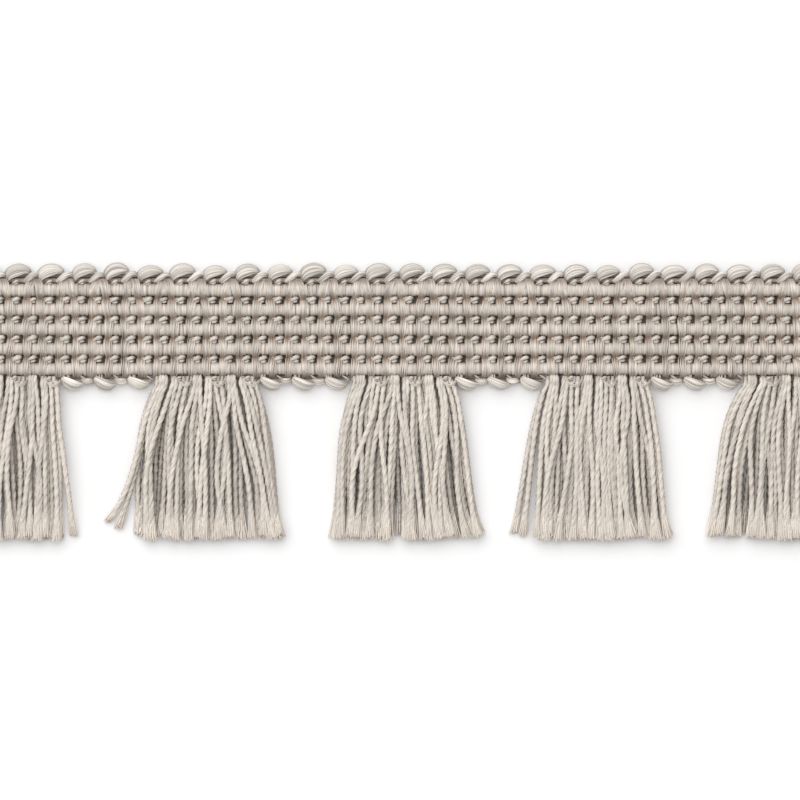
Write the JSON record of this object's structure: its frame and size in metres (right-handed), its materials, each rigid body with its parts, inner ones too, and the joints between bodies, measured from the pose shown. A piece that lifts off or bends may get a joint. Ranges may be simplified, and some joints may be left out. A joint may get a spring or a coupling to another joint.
{
  "type": "bell fringe trim",
  "caption": "Cut length of woven furnishing trim: a ribbed heading with a scalloped upper edge, and bells of cut yarn hanging between scallops along its lower edge.",
  "frame": {"origin": "on the heading's flat back, under the middle rib and the middle bell", "axes": "+X along the trim, +Y from the bells towards the upper scallops, +Z out of the face"},
  "size_m": [0.1416, 0.0406, 0.0026],
  "materials": {
    "heading_cloth": "matte woven yarn",
    "rib_cord": "satin wrapped yarn",
    "scallop_yarn": "satin yarn",
    "bell_yarn": "satin plied yarn"
  },
  "bodies": {
    "root": {"heading_ground": "heading_cloth", "rib_cord_1": "rib_cord", "rib_cord_2": "rib_cord", "rib_cord_3": "rib_cord", "rib_cord_4": "rib_cord", "rib_cord_5": "rib_cord", "upper_scallops": "scallop_yarn", "lower_scallops_1": "scallop_yarn", "lower_scallops_2": "scallop_yarn", "lower_scallops_3": "scallop_yarn", "lower_scallops_4": "scallop_yarn", "lower_scallops_5": "scallop_yarn", "lower_scallops_6": "scallop_yarn", "bell_1": "bell_yarn", "bell_2": "bell_yarn", "bell_3": "bell_yarn", "bell_4": "bell_yarn", "bell_5": "bell_yarn"}
  },
  "joints": []
}
